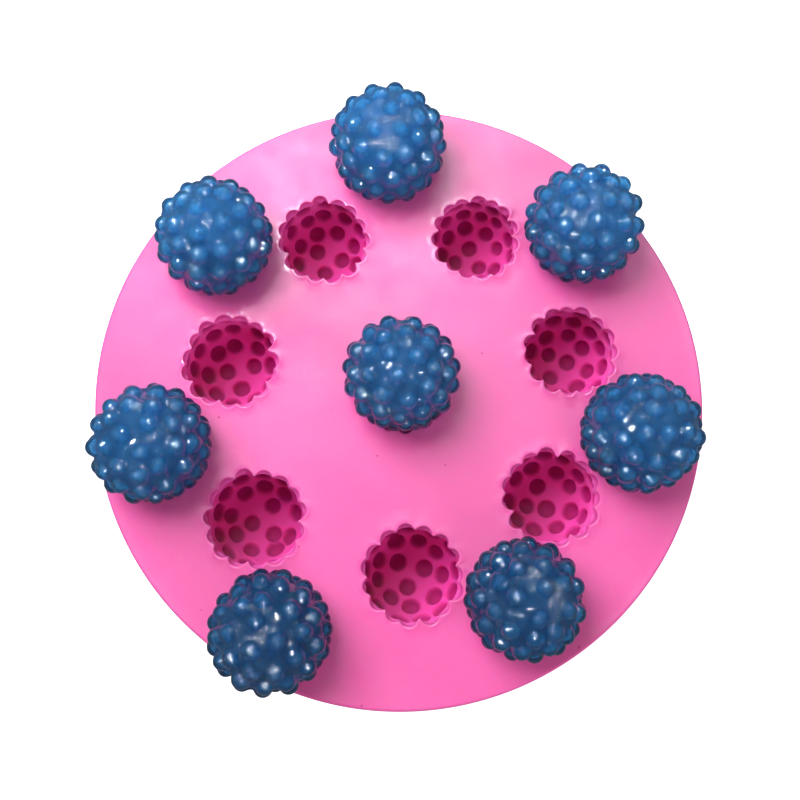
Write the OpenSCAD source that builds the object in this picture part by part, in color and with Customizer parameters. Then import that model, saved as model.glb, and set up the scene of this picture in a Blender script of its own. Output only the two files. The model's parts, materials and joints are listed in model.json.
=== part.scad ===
// Round silicone mould with eight berry cavities, and the eight berries cast in it.
// Frame: millimetres, +Z up, origin at the centre of the mould's underside.

/* [Mould] */
// Diameter of the silicone disc
mould_d = 80; // [78:0.5:96]
// Thickness of the silicone disc
mould_t = 16; // [15:0.5:24]
// Round on the disc's top and bottom edges
edge_r = 0.5; // [0.2:0.1:1.5]

/* [Berry] */
// Radius of the core under the lobes
core_r = 6.7; // [6.4:0.05:6.9]
// Distance of a lobe's centre from the berry's middle
lobe_at = 6.75; // [6.6:0.05:6.9]
// Radius of one lobe
lobe_r = 1.2; // [1.1:0.05:1.3]
// Height of the berry's middle over its flat base
middle_h = 4.2; // [3.8:0.1:4.6]

/* [Hidden] */
$fn = 48;

// Each ring of lobes: its angle from the pole, and how many lobes it holds
RINGS = [[17, 3], [40.5, 9], [64.5, 13], [88.5, 15], [108, 15], [128, 15]];
// A cube of this side is larger than a berry
clear = 4 * (lobe_at + lobe_r);

// Each cavity's direction and distance from the mould's centre, its own turn, and its size
CAVITIES = [
    [77, 1.3, 0, 0.95],
    [116.1, 23.7, 10, 0.94], [65.1, 24, 75, 0.9], [14.9, 23.5, 130, 0.95],
    [-34.1, 23.6, 200, 0.98], [-86.3, 23.3, 255, 1], [-139.4, 24.7, 310, 1],
    [168.8, 23, 40, 0.97]
];

// Each berry's direction and distance from the mould's centre, its own turn, and its size
CENTRE = [90, 2.3, 20, 0.955];
TOP = [93.1, 33.1, 80, 0.985];
TOP_RIGHT = [42.9, 32.6, 155, 0.99];
RIGHT = [-9.9, 30.9, 215, 0.98];
BOTTOM_RIGHT = [-59.6, 30.1, 290, 0.96];
BOTTOM_LEFT = [-118.3, 33.8, 350, 0.97];
LEFT = [-167.7, 32.1, 50, 0.97];
TOP_LEFT = [140.2, 31.5, 120, 0.97];

// Places its children at a direction, a distance, a turn and a size
module at(place) {
    rotate(place[0]) translate([place[1], 0])
        rotate(place[2] - place[0]) scale(place[3]) children();
}

// Core and lobes, round the berry's middle, pole up; every second ring starts half a lobe on
module lobed_ball() {
    sphere(core_r);
    for (i = [0 : len(RINGS) - 1], polar = RINGS[i][0], lobes = RINGS[i][1])
        for (k = [1 : lobes])
            rotate([0, polar, 360 * (k + i / 2) / lobes])
                translate([0, 0, lobe_at]) sphere(lobe_r);
}

// One cast berry, standing on its flat base at Z 0
module berry() {
    difference() {
        translate([0, 0, middle_h]) lobed_ball();
        translate([-clear / 2, -clear / 2, -clear]) cube(clear);
    }
}

// Disc with its top and bottom edges rounded
module disc() {
    side_r = mould_d / 2;
    cylinder(r = side_r - edge_r, h = mould_t, $fn = 180);
    translate([0, 0, edge_r]) cylinder(r = side_r, h = mould_t - 2 * edge_r, $fn = 180);
    for (z = [edge_r, mould_t - edge_r])
        translate([0, 0, z])
            rotate_extrude($fn = 180) translate([side_r - edge_r, 0]) circle(edge_r);
}

module mould() {
    color("hotpink") difference() {
        disc();
        translate([0, 0, mould_t])
            for (place = CAVITIES)
                at(place) translate([0, 0, -middle_h]) mirror([0, 0, 1]) lobed_ball();
    }
}

// A berry resting on the mould's top face
module resting(place) {
    color("steelblue") translate([0, 0, mould_t]) at(place) berry();
}

module berry_centre() { resting(CENTRE); }
module berry_top() { resting(TOP); }
module berry_top_right() { resting(TOP_RIGHT); }
module berry_right() { resting(RIGHT); }
module berry_bottom_right() { resting(BOTTOM_RIGHT); }
module berry_bottom_left() { resting(BOTTOM_LEFT); }
module berry_left() { resting(LEFT); }
module berry_top_left() { resting(TOP_LEFT); }

mould();
berry_centre();
berry_top();
berry_top_right();
berry_right();
berry_bottom_right();
berry_bottom_left();
berry_left();
berry_top_left();
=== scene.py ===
"""Looks of the berry casting mould: pink silicone, and eight blue gel berries lying on it."""

import json
from itertools import chain
from math import cos, pi, radians, sin

import bmesh
import bpy
import numpy as np
from mathutils import Matrix, Vector
from mathutils.geometry import delaunay_2d_cdt
from mathutils.noise import noise


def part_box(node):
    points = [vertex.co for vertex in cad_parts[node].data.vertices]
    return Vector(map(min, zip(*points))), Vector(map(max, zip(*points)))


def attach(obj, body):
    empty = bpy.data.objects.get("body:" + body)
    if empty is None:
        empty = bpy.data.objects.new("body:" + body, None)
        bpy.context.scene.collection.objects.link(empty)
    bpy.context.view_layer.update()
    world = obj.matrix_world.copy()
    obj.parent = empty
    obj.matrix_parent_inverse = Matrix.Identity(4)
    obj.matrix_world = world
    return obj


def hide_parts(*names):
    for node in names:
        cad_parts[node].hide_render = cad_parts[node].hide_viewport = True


MM = 0.001

# The berry's form, in millimetres, as the CAD part has it
CORE_R = 6.7
LOBE_AT = 6.75
LOBE_R = 1.2
MIDDLE_H = 4.2
# Each ring of lobes: its angle from the pole, and how many lobes it holds
RINGS = ((17, 3), (40.5, 9), (64.5, 13), (88.5, 15), (108, 15), (128, 15))

# Each berry's turn about its own axis in degrees, its size, and how much painted shade darkens its
# blue, more on berries lower down where less light falls
BERRIES = {
    "berry_centre": (20, 0.955, 0.45),
    "berry_top": (80, 0.985, 0.0),
    "berry_top_right": (155, 0.99, 0.15),
    "berry_right": (215, 0.98, 0.45),
    "berry_bottom_right": (290, 0.96, 0.9),
    "berry_bottom_left": (350, 0.97, 1.0),
    "berry_left": (50, 0.97, 0.5),
    "berry_top_left": (120, 0.97, 0.15),
}
# Each cavity's turn and size
CAVITIES = {
    "centre_cavity": (0, 0.95),
    "top_left_cavity": (10, 0.94),
    "top_right_cavity": (75, 0.9),
    "right_cavity": (130, 0.95),
    "bottom_right_cavity": (200, 0.98),
    "bottom_cavity": (255, 1),
    "bottom_left_cavity": (310, 1),
    "left_cavity": (40, 0.97),
}

# How softly lobes run into the core, and how much cast lobes differ from each other
CREASE = 0.12
LOBE_SHIFT_DEG = 2.8
LOBE_SIZE_SHARE = 0.07

# The search for a form's surface: it ends at a distance outside every lobe, after these halvings
OUTSIDE = 8.4
HALVINGS = 14

# Points round a berry or a cavity, and rings of points from its pole to its open edge
ROUND_POINTS = 300
DOME_RINGS = 128
# Small beads of gel between a berry's lobes: places tried, the most kept, their radius, and
# the smallest and largest of them as shares of it
BEAD_TRIES = 900
BEAD_COUNT = 110
BEAD_R = 0.56
BEAD_RANGE = (0.7, 1.2)
# How far a bead's centre keeps from lobes in lobe radii, and lies from the middle in core radii
BEAD_CLEAR = 0.95
BEAD_AT = 0.985
# Random draws start from a berry's number for its lobes, and from these on for beads and cavities
BEAD_SEED = 100
CAVITY_SEED = 40
# Size of a berry's cloudy heart, and of the lobes on it, as shares of the whole berry's
HEART_SHARE = 0.96
HEART_LOBES = 0.6
# A berry's base: height of its softened edge, that edge's steps inward and up, and the dish
BASE_EDGE = 0.12
BASE_STEPS = ((0.04, 0.03), (0.16, 0))
DISH_H = 0.25
DISH_SHARES = (0.9, 0.75, 0.5, 0.25)

# The mould's rounded edges and side wall
EDGE_R = 0.5
EDGE_BENDS = 6
WALL_POINTS = 360
WALL_ROWS = 12
WALL_MARGIN = 1.5
# The underside's rings, as shares of the radius in from the side wall
UNDERSIDE_SHARES = (0.1, 0.3, 0.5, 0.7, 0.85)
# How much the mould's face rises and falls, and over what distance
SWELL_H = 0.06
SWELL_SPAN = 13
# Spacing of points on the face, the height of a row of triangles of side 1, and how many
# spacings points keep from the face's edge and from its holes
FACE_STEP = 1.2
ROW_STEP = 0.866
EDGE_CLEAR = 0.6
HOLE_CLEAR = 0.5
# The cavity's wall ends this far under the face, and its lip starts this far under it
WALL_END = 0.1
LIP_START = 0.03
# The lip's least share of its height, its share on average, and how far it leans to the front right
LIP_LEAST = 0.1
LIP_MEAN = 0.2
LIP_LEAN = 0.5
# How fast the lip's height wanders along it
LIP_WANDER = 0.35
# The lip round a cavity: its height, and its rings' distances out and shares of that height
LIP_H = 0.17
LIP_RINGS = ((0.05, 0.0), (0.14, 0.8), (0.26, 1.0), (0.42, 0.7), (0.9, 0.0))
# Points of the mould nearer than this are one
WELD = 0.003
# Depth at which a cavity of size 1 counts as fully deep
DEEPEST = 12
# Values stored on the mould's points for its material
STORED = ("deep", "pit", "lip")

# The part of a spot's radius that is fully spot, before its soft edge
SPOT_CORE = 0.6

# The stage, in metres: half the floor's side, its gap under the mould, and how far lamps stand
FLOOR_HALF = 20
FLOOR_GAP = 0.00005
LAMP_AWAY = 0.32
# The camera's place over the middle of the mould's face, and the point it looks at, in millimetres
CAMERA_EYE = (-2.4, -18.7, 115.3)
CAMERA_AIM = (-0.1, -0.6, 0)

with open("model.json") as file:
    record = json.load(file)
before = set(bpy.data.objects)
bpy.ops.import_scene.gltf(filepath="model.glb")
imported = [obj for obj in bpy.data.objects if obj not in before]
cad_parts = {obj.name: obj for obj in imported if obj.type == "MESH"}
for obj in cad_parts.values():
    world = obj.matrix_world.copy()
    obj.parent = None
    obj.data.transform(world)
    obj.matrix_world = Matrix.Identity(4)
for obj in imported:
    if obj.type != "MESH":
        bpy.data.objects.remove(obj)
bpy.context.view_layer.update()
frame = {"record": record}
mould_low, mould_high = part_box("mould")
TOP_Z = mould_high.z / MM
MOULD_R = (mould_high.x - mould_low.x) / 2 / MM


# ---------------------------------------------------------------- berry form


def lobes(turn, seed):
    """Centres and radii of a berry's lobes round its middle, pole up, each a little different."""
    random = np.random.default_rng(seed)
    centres = []
    for ring, (polar, count) in enumerate(RINGS):
        for k in range(1, count + 1):
            down = radians(polar + LOBE_SHIFT_DEG * random.uniform(-1, 1))
            wander = LOBE_SHIFT_DEG * random.uniform(-1, 1) / sin(down)
            round_ = radians(turn + 360 * (k + ring / 2) / count + wander)
            centres.append((sin(down) * cos(round_), sin(down) * sin(round_), cos(down)))
    centres = LOBE_AT * np.array(centres)
    radii = LOBE_R * (1 + LOBE_SIZE_SHARE * random.uniform(-1, 1, len(centres)))
    return centres, radii


def with_beads(form, seed):
    """The same lobes, with small beads of gel on the core in the gaps between them."""
    centres, radii = form
    random = np.random.default_rng(BEAD_SEED + seed)
    tries = random.normal(size=(BEAD_TRIES, 3))
    tries *= CORE_R / np.linalg.norm(tries, axis=1)[:, None]
    gaps = np.linalg.norm(tries[:, None] - centres[None], axis=2).min(1)
    beads = tries[gaps > LOBE_R * BEAD_CLEAR][:BEAD_COUNT] * BEAD_AT
    sizes = BEAD_R * random.uniform(*BEAD_RANGE, len(beads))
    return np.vstack([centres, beads]), np.concatenate([radii, sizes])


def outside_by(points, form):
    """Distance outside the core and lobes, which meet in soft creases."""
    centres, radii = form
    square = (points**2).sum(1)
    from_lobes = np.sqrt(
        np.maximum(square[:, None] + (centres**2).sum(1) - 2 * points @ centres.T, 0)
    )
    distances = np.column_stack([np.sqrt(square) - CORE_R, from_lobes - radii])
    nearest = distances.min(1)
    crowd = np.exp((nearest[:, None] - distances) / CREASE).sum(1)
    return nearest - CREASE * np.log(crowd)


def reach(starts, directions, form, near):
    """How far along each direction the surface lies, at least near, by halving the interval."""
    low = np.full(len(directions), float(near))
    high = np.full(len(directions), OUTSIDE)
    for _ in range(HALVINGS):
        middle = (low + high) / 2
        out = outside_by(starts + middle[:, None] * directions, form) > 0
        high = np.where(out, middle, high)
        low = np.where(out, low, middle)
    return (low + high) / 2


def circle_points(count):
    """Unit vectors round the Z axis."""
    angle = np.arange(count) * 2 * pi / count
    return np.column_stack([np.cos(angle), np.sin(angle), np.zeros(count)])


def dome_rows(form, cut_h):
    """Rings of points from the pole to the plane that lies cut_h under the form's middle."""
    outward = circle_points(ROUND_POINTS)
    cut = np.array([0, 0, -cut_h])
    edge = reach(cut, outward, form, near=4)
    last_polar = np.arctan2(edge, -cut_h)
    pole = reach(0, np.array([[0.0, 0.0, 1.0]]), form, near=6)[0]
    rows = [np.array([[0, 0, pole]])]
    for share in np.arange(1, DOME_RINGS + 1) / DOME_RINGS:
        polar = last_polar * share
        directions = outward * np.sin(polar)[:, None]
        directions[:, 2] = np.cos(polar)
        rows.append(directions * reach(0, directions, form, near=5)[:, None])
    return rows


def inset(row, distance, z):
    """The same ring of points, nearer the axis by distance, at height z."""
    flat = np.hypot(row[:, 0], row[:, 1])
    moved = row * ((flat - distance) / flat)[:, None]
    moved[:, 2] = z
    return moved


# ---------------------------------------------------------------- mesh building


def add_skin(bm, rows):
    """Joins rings of points into a surface; a ring of one point is a pole."""
    made = [[bm.verts.new(Vector(point) * MM) for point in row] for row in rows]
    for above, below in zip(made, made[1:]):
        count = max(len(above), len(below))
        for k in range(count):
            ahead = (k + 1) % count
            corners = [
                above[k % len(above)],
                above[ahead % len(above)],
                below[ahead % len(below)],
                below[k % len(below)],
            ]
            bm.faces.new(list(dict.fromkeys(corners)))
    return made


def finish_mesh(bm, name, material):
    """Makes a smooth-shaded object out of a closed bmesh."""
    bmesh.ops.recalc_face_normals(bm, faces=bm.faces)
    mesh = bpy.data.meshes.new(name)
    bm.to_mesh(mesh)
    bm.free()
    mesh.shade_smooth()
    mesh.materials.append(material)
    piece = bpy.data.objects.new(name, mesh)
    bpy.context.scene.collection.objects.link(piece)
    return piece


def skin_rows(form):
    """Rings of a berry's skin: its dome, its softened base edge, and a dish where it shrank."""
    rows = dome_rows(form, MIDDLE_H - BASE_EDGE)
    rim = rows[-1]
    for inward, up in BASE_STEPS:
        rows.append(inset(rim, inward, up - MIDDLE_H))
    for share in DISH_SHARES:
        ring = rim * share
        ring[:, 2] = -MIDDLE_H + DISH_H * (1 - share**2)
        rows.append(ring)
    rows.append(np.array([[0, 0, -MIDDLE_H + DISH_H]]))
    return rows


def heart_rows(form):
    """Rings of a berry's cloudy heart, with a flat base."""
    rows = dome_rows(form, MIDDLE_H - BASE_EDGE)
    rows.append(np.array([[0, 0, BASE_EDGE - MIDDLE_H]]))
    return rows


def make_berry(node, look, seed, gel, heart):
    """A cast berry: a clear skin, which it returns, and a cloudy heart inside it."""
    turn, size, blue = look
    low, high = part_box(node)
    middle = (low + high) / 2 / MM
    base_z = low.z / MM
    centres, radii = lobes(turn, seed)
    place = np.array([middle.x, middle.y, base_z + MIDDLE_H * size])
    for part, rows, share, material in (
        ("gel", skin_rows(with_beads((centres, radii), seed)), 1, gel),
        ("heart", heart_rows((centres, radii * HEART_LOBES)), HEART_SHARE, heart),
    ):
        bm = bmesh.new()
        add_skin(bm, [row * share * size + place for row in rows])
        piece = finish_mesh(bm, f"{node}_{part}", material)
        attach(piece, node)
        # Stores the berry's share of painted shade, larger on berries lower down
        stored = piece.data.attributes.new("blue", "FLOAT", "POINT")
        stored.data.foreach_set("value", [blue] * len(stored.data))
        if part == "gel":
            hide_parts(node)
            skin = piece
    return skin


# ---------------------------------------------------------------- mould


def face_z(x, y):
    """Height of the mould's top face, which is a little uneven, in millimetres."""
    return TOP_Z - SWELL_H + SWELL_H * noise(Vector((x / SWELL_SPAN, y / SWELL_SPAN, 0.5)))


def cavity_rows(form, seed):
    """A cavity's rings from its deepest point to its mouth, then out over its raised lip.

    The lip is uneven, and higher on the side towards the front right.
    """
    rows = [row * (1, 1, -1) for row in dome_rows(form, MIDDLE_H - WALL_END)]
    mouth = rows[-1]
    uneven = [noise(Vector((*point[:2], seed)) * LIP_WANDER) for point in mouth]
    leaning = LIP_LEAN * (mouth[:, 0] - mouth[:, 1]) / CORE_R
    lip = LIP_H * np.clip(LIP_MEAN + leaning + uneven, LIP_LEAST, 1)
    for distance, share in LIP_RINGS:
        rows.append(inset(mouth, -distance, MIDDLE_H - LIP_START + share * lip))
    return rows


def wall_rows():
    """The disc's rounded top edge, side wall, rounded bottom edge and underside."""
    outward = circle_points(WALL_POINTS)
    top = outward * (MOULD_R - EDGE_R)
    top[:, 2] = [face_z(*point[:2]) for point in top]
    rows = [top]
    bends = np.linspace(0, pi / 2, EDGE_BENDS)
    profile = [(EDGE_R * (1 - sin(a)), TOP_Z - EDGE_R * (1 - cos(a))) for a in bends[1:]]
    profile += [(0, z) for z in np.linspace(TOP_Z - WALL_MARGIN, WALL_MARGIN, WALL_ROWS)]
    profile += [(EDGE_R * (1 - cos(a)), EDGE_R * (1 - sin(a))) for a in bends]
    profile += [(MOULD_R * share, 0) for share in UNDERSIDE_SHARES]
    for depth, z in profile:
        row = outward * (MOULD_R - depth)
        row[:, 2] = z
        rows.append(row)
    rows.append(np.array([[0.0, 0.0, 0.0]]))
    return rows


def face_grid(holes):
    """Evenly spread points on the top face that keep clear of its edge and its holes."""
    points = []
    steps = int(MOULD_R / FACE_STEP) + 1
    for j in range(-steps, steps + 1):
        for i in range(-steps, steps + 1):
            spot = Vector(((i + j % 2 / 2) * FACE_STEP, j * FACE_STEP * ROW_STEP))
            if spot.length > MOULD_R - EDGE_R - EDGE_CLEAR * FACE_STEP:
                continue
            if all(clear_of(spot, hole) for hole in holes):
                points.append(spot)
    return points


def clear_of(spot, hole):
    """True where a point is outside a hole's outline with room to spare."""
    centre, outline = hole
    away = spot - centre
    heading = int(np.arctan2(away.y, away.x) / (2 * pi) * len(outline)) % len(outline)
    edge = (outline[heading] - centre).length
    return away.length > edge + HOLE_CLEAR * FACE_STEP


def add_face(bm, rim, holes):
    """Triangles between the disc's rim and the cavities' lips."""
    outlines = [[Vector(point[:2]) for point in rim]] + [outline for _, outline in holes]
    points, loops = [], []
    for outline in outlines:
        loops.append(list(range(len(points), len(points) + len(outline))))
        points += outline
    points += face_grid(holes)
    flat, _, triangles, _, _, inside = delaunay_2d_cdt(points, [], loops, 0, 1e-5)
    made = [bm.verts.new(Vector((p.x, p.y, face_z(p.x, p.y))) * MM) for p in flat]
    for triangle, loops_round in zip(triangles, inside):
        if loops_round == [0]:
            bm.faces.new([made[k] for k in triangle])


def mark_cavity(bm, rows_made, middle, size):
    """Stores how deep each point lies, how far into a pit, and whether on the lip, from 0 to 1."""
    deep, pit, lip = (bm.verts.layers.float[name] for name in STORED)
    for vert in chain.from_iterable(rows_made):
        point = vert.co / MM
        away = (point - middle).length / size
        vert[deep] = (TOP_Z - point.z) / DEEPEST / size
        vert[pit] = min(max((away - CORE_R) / (LOBE_AT + LOBE_R - CORE_R), 0), 1)
    lip_made = rows_made[-len(LIP_RINGS):]
    for vert in chain.from_iterable(lip_made):
        vert[deep] = vert[pit] = 0
    for vert in chain.from_iterable(lip_made[1:-1]):
        vert[lip] = 1


def make_mould(material):
    """The silicone disc, with its cavities, their lips and its side wall."""
    bm = bmesh.new()
    for name in STORED:
        bm.verts.layers.float.new(name)
    holes = []
    for seed, opening in enumerate(frame["record"]["physics"]["openings"]):
        turn, size = CAVITIES[opening["name"]]
        low, high = opening["box_m"]
        x, y = ((a + b) / 2 / MM for a, b in zip(low[:2], high[:2]))
        middle = Vector((x, y, TOP_Z - MIDDLE_H * size))
        rows = [row * size + middle for row in cavity_rows(lobes(turn, CAVITY_SEED + seed), seed)]
        rows[-1][:, 2] = [face_z(*point[:2]) for point in rows[-1]]
        mark_cavity(bm, add_skin(bm, rows), middle, size)
        holes.append((middle.xy, [Vector(point[:2]) for point in rows[-1]]))
    wall = wall_rows()
    add_skin(bm, wall)
    add_face(bm, wall[0], holes)
    bmesh.ops.remove_doubles(bm, verts=bm.verts, dist=WELD * MM)
    mould = finish_mesh(bm, "mould_silicone", material)
    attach(mould, "mould")
    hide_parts("mould")
    return mould


# ---------------------------------------------------------------- materials


class Nodes:
    """A material's node tree, with short calls to add and join nodes."""

    def __init__(self, name):
        self.material = bpy.data.materials.new(name)
        self.material.use_nodes = True
        self.tree = self.material.node_tree
        self.shader = self.tree.nodes["Principled BSDF"]
        self.output = self.tree.nodes["Material Output"]
        self.place = self.add("ShaderNodeTexCoord").outputs["Object"]

    def add(self, kind, **values):
        """Adds a node and sets its properties."""
        node = self.tree.nodes.new(kind)
        for key, value in values.items():
            setattr(node, key, value)
        return node

    def join(self, source, target):
        """Links a socket to another."""
        self.tree.links.new(source, target)

    def set(self, **values):
        """Sets values on the shader's own sockets."""
        for key, value in values.items():
            self.shader.inputs[key.replace("_", " ")].default_value = value

    def noise(self, size_mm, detail=3.0, roughness=0.5):
        """Noise of that size, from 0 to 1."""
        node = self.add("ShaderNodeTexNoise")
        node.inputs["Scale"].default_value = 1000 / size_mm
        node.inputs["Detail"].default_value = detail
        node.inputs["Roughness"].default_value = roughness
        self.join(self.place, node.inputs["Vector"])
        return node.outputs["Fac"]

    def spots(self, spacing_mm, size_share):
        """1 in small round spots, one to each cell of that spacing, and 0 elsewhere."""
        cells = self.add("ShaderNodeTexVoronoi")
        cells.inputs["Scale"].default_value = 1000 / spacing_mm
        self.join(self.place, cells.inputs["Vector"])
        return self.ramp(cells.outputs["Distance"], size_share * SPOT_CORE, size_share, 1, 0)

    def ramp(self, source, low, high, to_low=0.0, to_high=1.0):
        """Runs smoothly from to_low to to_high as the source goes from low to high."""
        node = self.add("ShaderNodeMapRange", interpolation_type="SMOOTHSTEP")
        for key, value in zip(
            ("From Min", "From Max", "To Min", "To Max"), (low, high, to_low, to_high)
        ):
            node.inputs[key].default_value = value
        self.join(source, node.inputs["Value"])
        return node.outputs["Result"]

    def mix(self, share, first, second):
        """Mixes two colours, each a tuple or a socket, by share, a socket."""
        node = self.add("ShaderNodeMix", data_type="RGBA")
        self.join(share, node.inputs["Factor"])
        for value, socket in ((first, node.inputs[6]), (second, node.inputs[7])):
            if isinstance(value, tuple):
                socket.default_value = (*value, 1)
            else:
                self.join(value, socket)
        return node.outputs[2]

    def stored(self, name):
        """A value stored on the mesh's points."""
        return self.add("ShaderNodeAttribute", attribute_name=name).outputs["Fac"]

    def times(self, first, second):
        """The product of two sockets."""
        node = self.add("ShaderNodeMath", operation="MULTIPLY")
        self.join(first, node.inputs[0])
        self.join(second, node.inputs[1])
        return node.outputs["Value"]

    def blend(self, share, first, second):
        """Mixes a value with a fixed one by share, a socket."""
        node = self.add("ShaderNodeMix", data_type="FLOAT")
        self.join(share, node.inputs[0])
        self.join(first, node.inputs[2])
        node.inputs[3].default_value = second
        return node.outputs[0]

    def bump(self, height, depth_mm, before=None):
        """A bumpy normal, on top of another one if given."""
        node = self.add("ShaderNodeBump")
        node.inputs["Distance"].default_value = depth_mm * MM
        self.join(height, node.inputs["Height"])
        if before is not None:
            self.join(before, node.inputs["Normal"])
        return node.outputs["Normal"]


def pink_silicone():
    """Satin silicone: soft and slightly see-through, faintly mottled, with a few pinholes; painted
    shade darkens the pinholes and the cavities' depths, and painted light brightens the cavities
    near their mouths.
    """
    nodes = Nodes("pink_silicone")
    clouds = nodes.ramp(nodes.noise(17, 4), 0.3, 0.7)
    colour = nodes.mix(clouds, (0.86, 0.12, 0.42), (0.90, 0.142, 0.45))
    pinholes = nodes.spots(4.6, 0.035)
    # Painted shade: the pinholes are darker, where shade falls in them
    colour = nodes.mix(pinholes, colour, (0.62, 0.05, 0.26))
    # Cavities: painted light near the mouth, painted shade lower down, and the darkest painted
    # shade in their pits
    deep = nodes.stored("deep")
    # Painted light: the walls near the mouth are lighter, as if lit through the thin silicone
    colour = nodes.mix(nodes.ramp(deep, 0.004, 0.05), colour, (0.98, 0.15, 0.57))
    # Painted shade: darker lower down in each cavity, where less light reaches
    low = nodes.ramp(deep, 0.2, 0.7)
    colour = nodes.mix(low, colour, (0.93, 0.066, 0.45))
    # Painted shade in the pits, stronger the deeper the pit lies
    pit = nodes.ramp(nodes.stored("pit"), 0.0, 0.7)
    painted_pit_shade = nodes.times(pit, nodes.ramp(deep, 0.0, 0.6, 0.6, 0.95))
    colour = nodes.mix(painted_pit_shade, colour, (0.50, 0.008, 0.19))
    nodes.join(colour, nodes.shader.inputs["Base Color"])
    # Gloss: satin on the face, matt in the cavities, and wet in patches of the lips
    satin = nodes.ramp(nodes.noise(5, 5), 0.3, 0.7, 0.42, 0.54)
    satin = nodes.blend(nodes.ramp(deep, 0.02, 0.15), satin, 0.9)
    wet = nodes.ramp(nodes.noise(1.5, 3), 0.44, 0.58)
    glossy = nodes.times(nodes.stored("lip"), wet)
    nodes.join(nodes.blend(glossy, satin, 0.16), nodes.shader.inputs["Roughness"])
    grain = nodes.bump(nodes.noise(0.45, 5, 0.6), 0.02)
    nodes.join(nodes.bump(pinholes, -0.12, grain), nodes.shader.inputs["Normal"])
    nodes.set(
        Subsurface_Weight=0.5,
        Subsurface_Scale=1.2 * MM,
        Subsurface_Radius=(1.0, 0.3, 0.5),
        IOR=1.4,
    )
    return nodes.material


def blue_gel():
    """Clear blue gel with a wet, finely rippled skin."""
    nodes = Nodes("blue_gel")
    ripple = nodes.ramp(nodes.noise(1.3, 3), 0.35, 0.7, 0.03, 0.08)
    nodes.join(ripple, nodes.shader.inputs["Roughness"])
    nodes.join(nodes.bump(nodes.noise(0.6, 2), 0.09), nodes.shader.inputs["Normal"])
    # Painted shade: darker blue on berries lower down, where less light falls
    colour = nodes.mix(nodes.stored("blue"), (0.14, 0.46, 0.77), (0.06, 0.26, 0.47))
    nodes.join(colour, nodes.shader.inputs["Base Color"])
    nodes.set(
        Transmission_Weight=0.92,
        Subsurface_Weight=1.0,
        Subsurface_Scale=6 * MM,
        Subsurface_Radius=(0.4, 0.7, 1.0),
        IOR=1.5,
    )
    depth = nodes.add("ShaderNodeVolumeAbsorption")
    depth.inputs["Color"].default_value = (0.1, 0.5, 0.72, 1)
    depth.inputs["Density"].default_value = 170
    nodes.join(depth.outputs["Volume"], nodes.output.inputs["Volume"])
    return nodes.material


def gel_heart():
    """The cloudy inside of the gel, where fine bubbles scatter the light."""
    nodes = Nodes("gel_heart")
    clouds = nodes.ramp(nodes.noise(4.5, 4), 0.35, 0.65)
    colour = nodes.mix(clouds, (0.035, 0.14, 0.25), (0.065, 0.19, 0.33))
    # Painted shade: a darker heart on berries lower down, where less light falls
    colour = nodes.mix(nodes.stored("blue"), colour, (0.025, 0.09, 0.17))
    nodes.join(colour, nodes.shader.inputs["Base Color"])
    nodes.set(
        Roughness=0.8,
        Subsurface_Weight=1.0,
        Subsurface_Scale=10 * MM,
        Subsurface_Radius=(0.6, 0.8, 1.0),
    )
    return nodes.material


def pale_floor():
    """A matt white that glows a little, so that it shows as an even pale ground."""
    nodes = Nodes("pale_floor")
    nodes.set(Base_Color=(0.93, 0.93, 0.93, 1), Roughness=0.9)
    nodes.set(Emission_Color=(1, 1, 1, 1), Emission_Strength=0.9)
    return nodes.material


# ---------------------------------------------------------------- stage, light and camera


def make_floor():
    """A plain pale floor that the mould rests on, left out of reflections and bounced light."""
    bm = bmesh.new()
    bmesh.ops.create_grid(bm, x_segments=1, y_segments=1, size=FLOOR_HALF)
    mesh = bpy.data.meshes.new("floor")
    bm.to_mesh(mesh)
    bm.free()
    mesh.materials.append(pale_floor())
    floor = bpy.data.objects.new("floor", mesh)
    floor.location.z = -FLOOR_GAP
    floor.visible_glossy = False
    floor.visible_diffuse = False
    bpy.context.scene.collection.objects.link(floor)


def look_from(piece, eye, target, up):
    """Stands a camera or a light at eye and turns it to target."""
    forward = (target - eye).normalized()
    right = forward.cross(up).normalized()
    rows = Matrix((right, right.cross(forward), -forward)).transposed()
    piece.matrix_world = Matrix.Translation(eye) @ rows.to_4x4()


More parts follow.
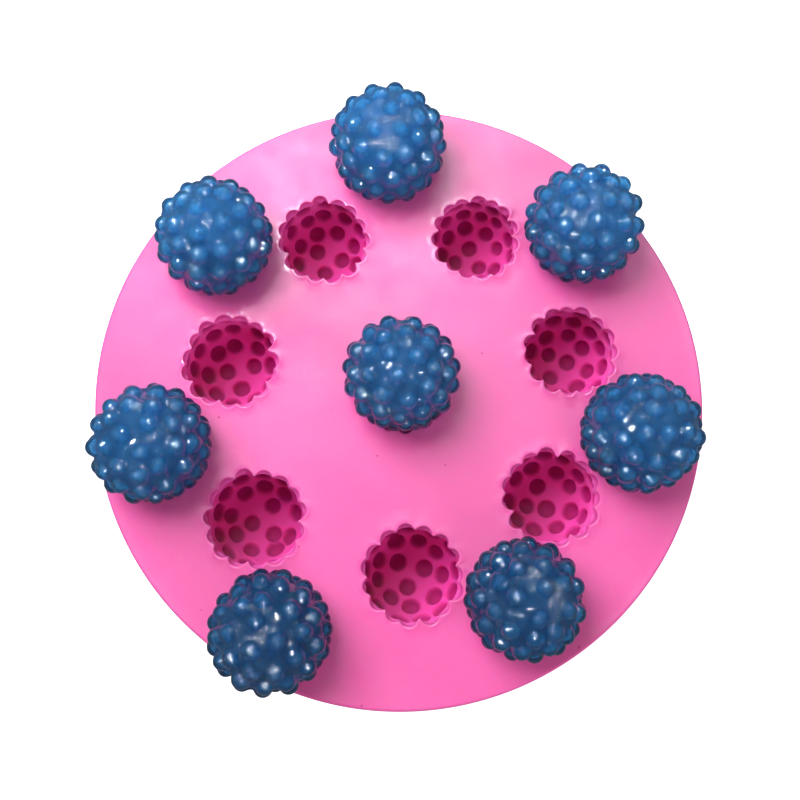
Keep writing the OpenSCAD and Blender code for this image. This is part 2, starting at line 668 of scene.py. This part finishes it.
def make_light(name, azimuth, elevation, distance, size, power, glint):
    """A square lamp in that direction, angles in degrees: a glint, or soft light with no glint."""
    lamp = bpy.data.lights.new(name, "AREA")
    lamp.size = size
    lamp.energy = power
    piece = bpy.data.objects.new(name, lamp)
    bpy.context.scene.collection.objects.link(piece)
    piece.visible_glossy = glint
    piece.visible_diffuse = not glint
    piece.visible_transmission = not glint
    a, e = radians(azimuth), radians(elevation)
    eye = distance * Vector((cos(a) * cos(e), sin(a) * cos(e), sin(e)))
    look_from(piece, eye, Vector((0, 0, 0)), Vector((0, 1, 0)))
    return piece


def shine_on(lamp, pieces):
    """Keeps a lamp's light to those pieces."""
    reached = bpy.data.collections.new(lamp.name)
    for piece in pieces:
        reached.objects.link(piece)
    lamp.light_linking.receiver_collection = reached


def make_lights(mould, berries):
    """Small lamps that glint, a sheet of gloss for the silicone's face, and soft light."""
    make_light("window", 112, 68, distance=LAMP_AWAY, size=0.03, power=0.5, glint=True)
    for name, azimuth, elevation in (("bulb", 60, 50), ("screen", 170, 60), ("lantern", -70, 64)):
        lamp = make_light(name, azimuth, elevation, LAMP_AWAY, size=0.02, power=0.8, glint=True)
        shine_on(lamp, berries)
    sheet = make_light("sheet", 92, 50, distance=LAMP_AWAY, size=0.25, power=2.6, glint=True)
    shine_on(sheet, [mould])
    make_light("daylight", 138, 53, distance=0.25, size=0.17, power=0.74, glint=False)
    make_light("room", -50, 33, distance=0.4, size=0.3, power=0.65, glint=False)
    world = bpy.data.worlds.new("studio")
    world.use_nodes = True
    world.node_tree.nodes["Background"].inputs["Color"].default_value = (1, 1, 1, 1)
    world.node_tree.nodes["Background"].inputs["Strength"].default_value = 0.24
    bpy.context.scene.world = world
    bpy.context.scene.view_settings.view_transform = "Standard"


def make_camera():
    """A camera almost straight above the mould, a little towards its front."""
    lens = bpy.data.cameras.new("camera")
    lens.lens = 40
    lens.sensor_width = 36
    lens.clip_start = 0.01
    camera = bpy.data.objects.new("camera", lens)
    bpy.context.scene.collection.objects.link(camera)
    face = Vector((0, 0, TOP_Z))
    eye = (face + Vector(CAMERA_EYE)) * MM
    look_from(camera, eye, (face + Vector(CAMERA_AIM)) * MM, Vector((0, 1, 0)))
    bpy.context.scene.camera = camera


make_camera()
make_floor()
silicone_mould = make_mould(pink_silicone())
outer, inner = blue_gel(), gel_heart()
skins = [
    make_berry(berry_node, berry_look, number, outer, inner)
    for number, (berry_node, berry_look) in enumerate(BERRIES.items())
]
make_lights(silicone_mould, skins)
